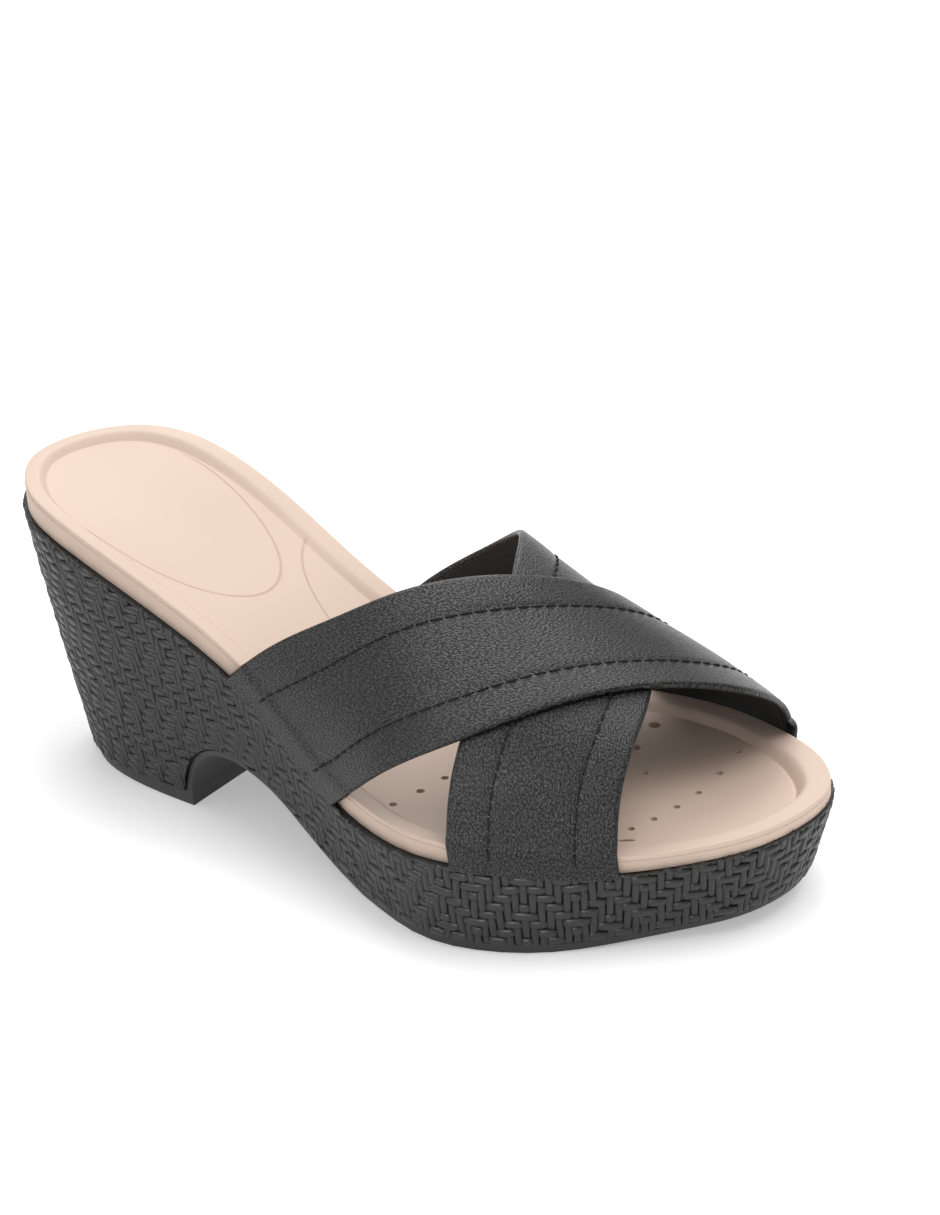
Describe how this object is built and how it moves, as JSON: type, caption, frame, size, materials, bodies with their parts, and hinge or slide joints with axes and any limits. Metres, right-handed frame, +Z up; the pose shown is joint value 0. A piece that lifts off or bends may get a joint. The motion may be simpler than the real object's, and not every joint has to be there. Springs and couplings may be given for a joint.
{
  "type": "platform mule",
  "caption": "Right-foot platform mule with a block heel, a beige contoured footbed and two wide crossed straps over the forefoot.",
  "frame": {"origin": "middle of the shoe's box in plan, on the floor that it stands on", "axes": "+X to the toe, +Y to the inner side of the right foot, +Z up"},
  "size_m": [0.2402, 0.1034, 0.0848],
  "materials": {
    "sole_rubber": "plain black moulded rubber, matt",
    "moulded_unit": "black moulded polyurethane with a plaited relief, satin",
    "footbed_foam": "beige moulded foam, matt and smooth",
    "strap_leather": "black grained leather, soft sheen, stitched"
  },
  "bodies": {
    "root": {"outsole": "sole_rubber", "platform": "moulded_unit", "footbed": "footbed_foam", "upper": "strap_leather"}
  },
  "joints": []
}
